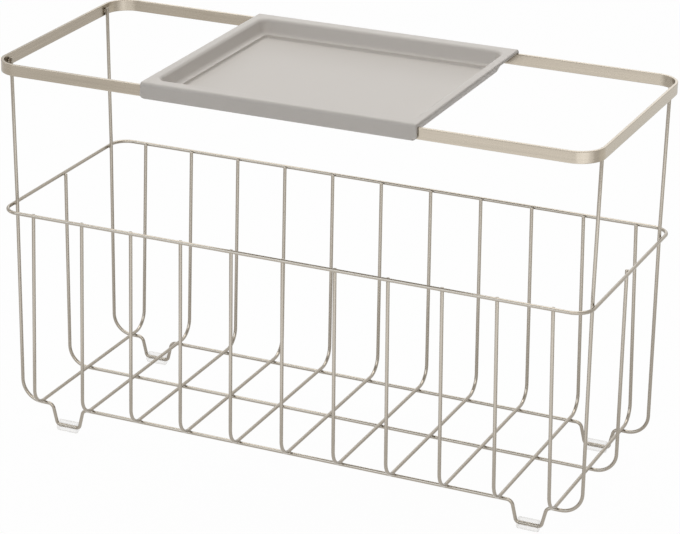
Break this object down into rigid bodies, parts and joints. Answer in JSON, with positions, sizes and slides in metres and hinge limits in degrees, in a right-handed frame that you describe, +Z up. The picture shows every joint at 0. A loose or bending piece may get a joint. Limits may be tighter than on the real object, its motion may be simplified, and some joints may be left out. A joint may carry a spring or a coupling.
{
  "type": "storage basket",
  "caption": "Open wire storage basket on sleeved feet, with tall end posts that carry a flat-bar rail, and a shallow tray that slides along the rail.",
  "frame": {"origin": "on the standing surface, under the middle of the basket", "axes": "+X along the basket's length, +Y towards the back, +Z up"},
  "size_m": [0.4378, 0.1846, 0.282],
  "materials": {
    "rail_steel": "satin, warm nickel tone",
    "wire_steel": "satin, warm nickel tone",
    "clear_sleeve": "clear, glossy",
    "tray_plastic": "matte, warm light grey"
  },
  "bodies": {
    "frame": {"top_rail": "rail_steel", "rim_wire": "wire_steel", "cross_wire_01": "wire_steel", "cross_wire_02": "wire_steel", "cross_wire_03": "wire_steel", "cross_wire_04": "wire_steel", "cross_wire_05": "wire_steel", "cross_wire_06": "wire_steel", "cross_wire_07": "wire_steel", "cross_wire_08": "wire_steel", "cross_wire_09": "wire_steel", "cross_wire_10": "wire_steel", "cross_wire_11": "wire_steel", "mid_wire": "wire_steel", "foot_wire_front": "wire_steel", "foot_wire_back": "wire_steel", "foot_sleeve_front_left": "clear_sleeve", "foot_sleeve_front_right": "clear_sleeve", "foot_sleeve_back_left": "clear_sleeve", "foot_sleeve_back_right": "clear_sleeve"},
    "tray": {"tray": "tray_plastic"}
  },
  "joints": [
    {"name": "tray_slide", "type": "slide", "parent": "frame", "child": "tray", "axis": [1, 0, 0], "range_m": [-0.1165, 0.1205]}
  ]
}
